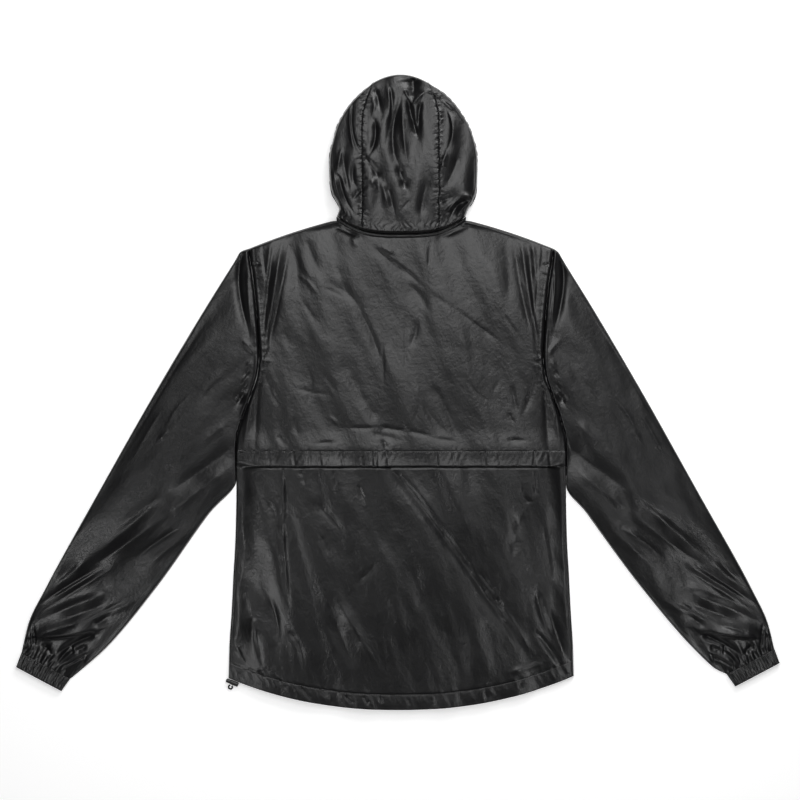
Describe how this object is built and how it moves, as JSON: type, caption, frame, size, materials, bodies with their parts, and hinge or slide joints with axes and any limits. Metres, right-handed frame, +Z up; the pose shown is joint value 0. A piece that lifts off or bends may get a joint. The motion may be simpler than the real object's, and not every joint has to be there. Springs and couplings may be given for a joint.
{
  "type": "windbreaker jacket",
  "caption": "Hooded long-sleeved windbreaker of thin nylon, laid flat on its front with the caped back up, gathered elastic cuffs and a drawcord hem.",
  "frame": {"origin": "middle of the jacket's bounding box, on the surface it lies on", "axes": "+Z up out of the surface, +Y towards the hood, +X towards the sleeve on the right seen from above; the back faces up"},
  "size_m": [1.1346, 0.943, 0.0434],
  "materials": {
    "nylon": "thin glossy black nylon",
    "cuff_rib": "gathered black nylon over elastic",
    "zip_tape": "woven black tape with coil teeth",
    "slider_metal": "black enamel",
    "lock_plastic": "moulded black",
    "cord": "braided black elastic"
  },
  "bodies": {
    "garment": {"back_upper": "nylon", "cape_hem": "nylon", "back_lower": "nylon", "hem_casing_back": "nylon", "front_left": "nylon", "front_right": "nylon", "hem_casing_front_left": "nylon", "hem_casing_front_right": "nylon", "zip_left": "zip_tape", "zip_right": "zip_tape", "zip_slider": "slider_metal", "sleeve_left": "nylon", "sleeve_right": "nylon", "cuff_left": "cuff_rib", "cuff_right": "cuff_rib", "hood_center": "nylon", "hood_left": "nylon", "hood_right": "nylon", "neck_band": "nylon", "hem_cord_lock": "lock_plastic", "hem_cord_loop": "cord"},
    "pull_tab": {"zip_pull_tab": "slider_metal"}
  },
  "joints": [
    {"name": "pull_tab_swing", "type": "hinge", "parent": "garment", "child": "pull_tab", "pos_m": [0.005, 0.2015, 0.00215], "axis": [1, 0, 0], "range_deg": [0, 170]}
  ]
}
